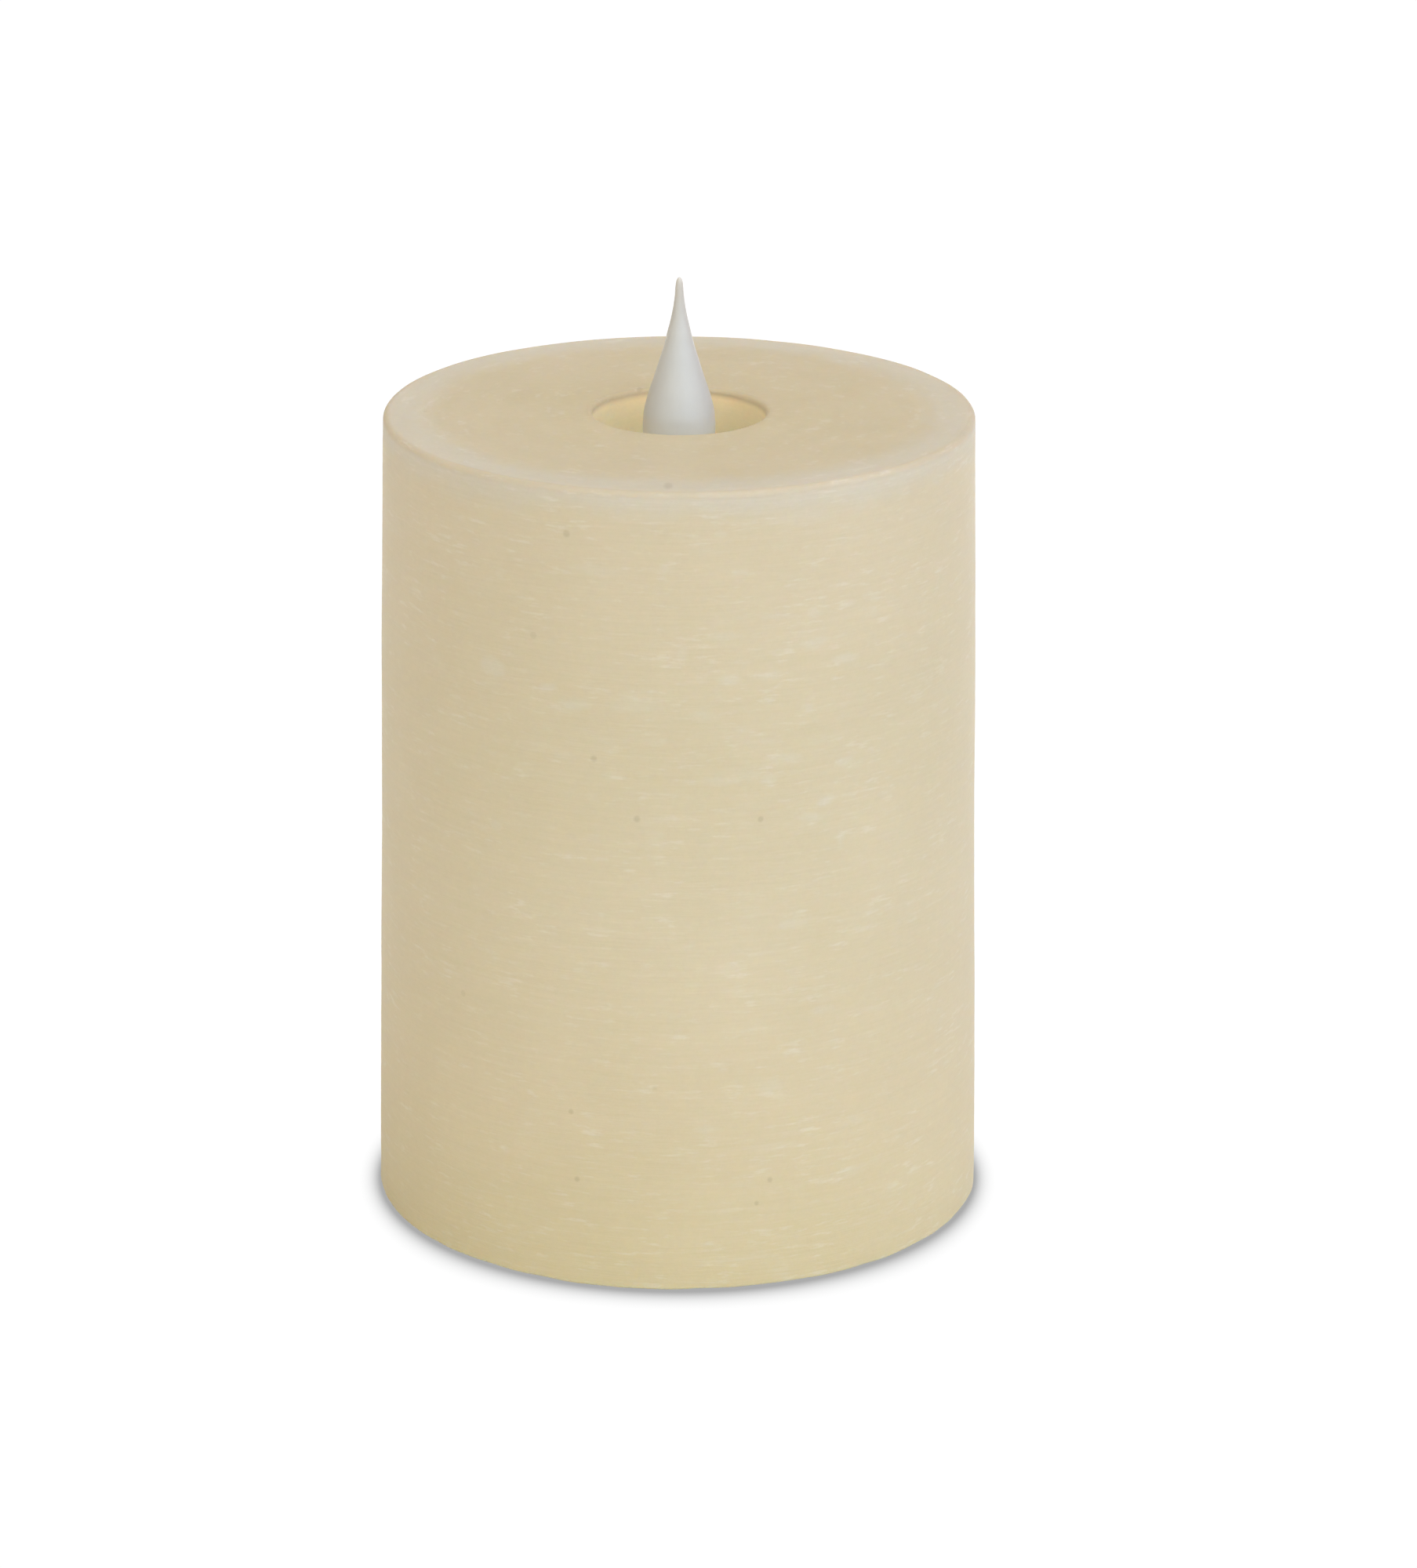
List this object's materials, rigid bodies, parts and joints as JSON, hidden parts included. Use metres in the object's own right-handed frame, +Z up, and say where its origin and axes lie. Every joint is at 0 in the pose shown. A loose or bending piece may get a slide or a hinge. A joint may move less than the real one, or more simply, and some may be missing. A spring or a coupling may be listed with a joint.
{
  "type": "flameless led candle",
  "caption": "Round ivory wax pillar candle with a swinging teardrop flame lit by LEDs from below and a battery door and slide switch in the base.",
  "frame": {"origin": "centre of the foot ring, on the surface the candle stands on", "axes": "+Z up along the pillar axis to the flame tip, -Y is the front, X is the way the flame swings and the battery cells lie"},
  "size_m": [0.0888, 0.0888, 0.1342],
  "materials": {
    "ivory_wax": "satin",
    "frosted_flame": "satin",
    "white_plastic": "satin",
    "black_plastic": "matte",
    "clear_led": "gloss",
    "green_board": "satin",
    "bright_steel": "satin",
    "nickel_magnet": "polished",
    "nickel_contact": "satin",
    "copper_wire": "gloss",
    "cell_jacket": "satin",
    "foam": "matte",
    "chip_epoxy": "matte",
    "capacitor_sleeve": "gloss",
    "crystal_can": "satin",
    "ceramic_chip": "matte",
    "red_lead": "satin",
    "black_lead": "satin",
    "grey_lead": "satin"
  },
  "bodies": {
    "base": {"wax_shell": "ivory_wax", "pivot_wire": "bright_steel", "housing_upper": "white_plastic", "housing_gasket": "foam", "housing_lower": "white_plastic", "housing_screws": "bright_steel", "led_board": "green_board", "led_left": "clear_led", "led_right": "clear_led", "coil_bobbin": "black_plastic", "coil_winding": "copper_wire", "support_column": "white_plastic", "column_screws": "bright_steel", "battery_box": "white_plastic", "battery_cell_1": "cell_jacket", "battery_cell_2": "cell_jacket", "positive_contact": "nickel_contact", "negative_contact": "nickel_contact", "bridge_contact": "nickel_contact", "negative_spring": "bright_steel", "bridge_spring": "bright_steel", "base_plate": "white_plastic", "base_screws": "bright_steel", "main_board": "green_board", "board_screws": "bright_steel", "slide_switch_body": "nickel_contact", "controller_chip": "chip_epoxy", "timing_crystal": "crystal_can", "smoothing_capacitor": "capacitor_sleeve", "drive_transistor": "chip_epoxy", "chip_resistors": "ceramic_chip", "battery_wire_red": "red_lead", "battery_wire_black": "black_lead", "coil_wires": "copper_wire", "led_wires": "grey_lead"},
    "flame": {"flame_shell": "frosted_flame", "flame_stem": "white_plastic", "pendulum_magnet": "nickel_magnet"},
    "switch": {"switch_knob": "black_plastic"},
    "door": {"battery_door": "white_plastic"}
  },
  "joints": [
    {"name": "flame_swing", "type": "hinge", "parent": "base", "child": "flame", "pos_m": [0, 0, 0.103], "axis": [0, 1, 0], "range_deg": [-8, 8]},
    {"name": "power_switch", "type": "slide", "parent": "base", "child": "switch", "axis": [1, 0, 0], "range_m": [0, 0.004]},
    {"name": "battery_door_hinge", "type": "hinge", "parent": "base", "child": "door", "pos_m": [-0.0315, 0, 0.0023], "axis": [0, 1, 0], "range_deg": [0, 100]}
  ]
}
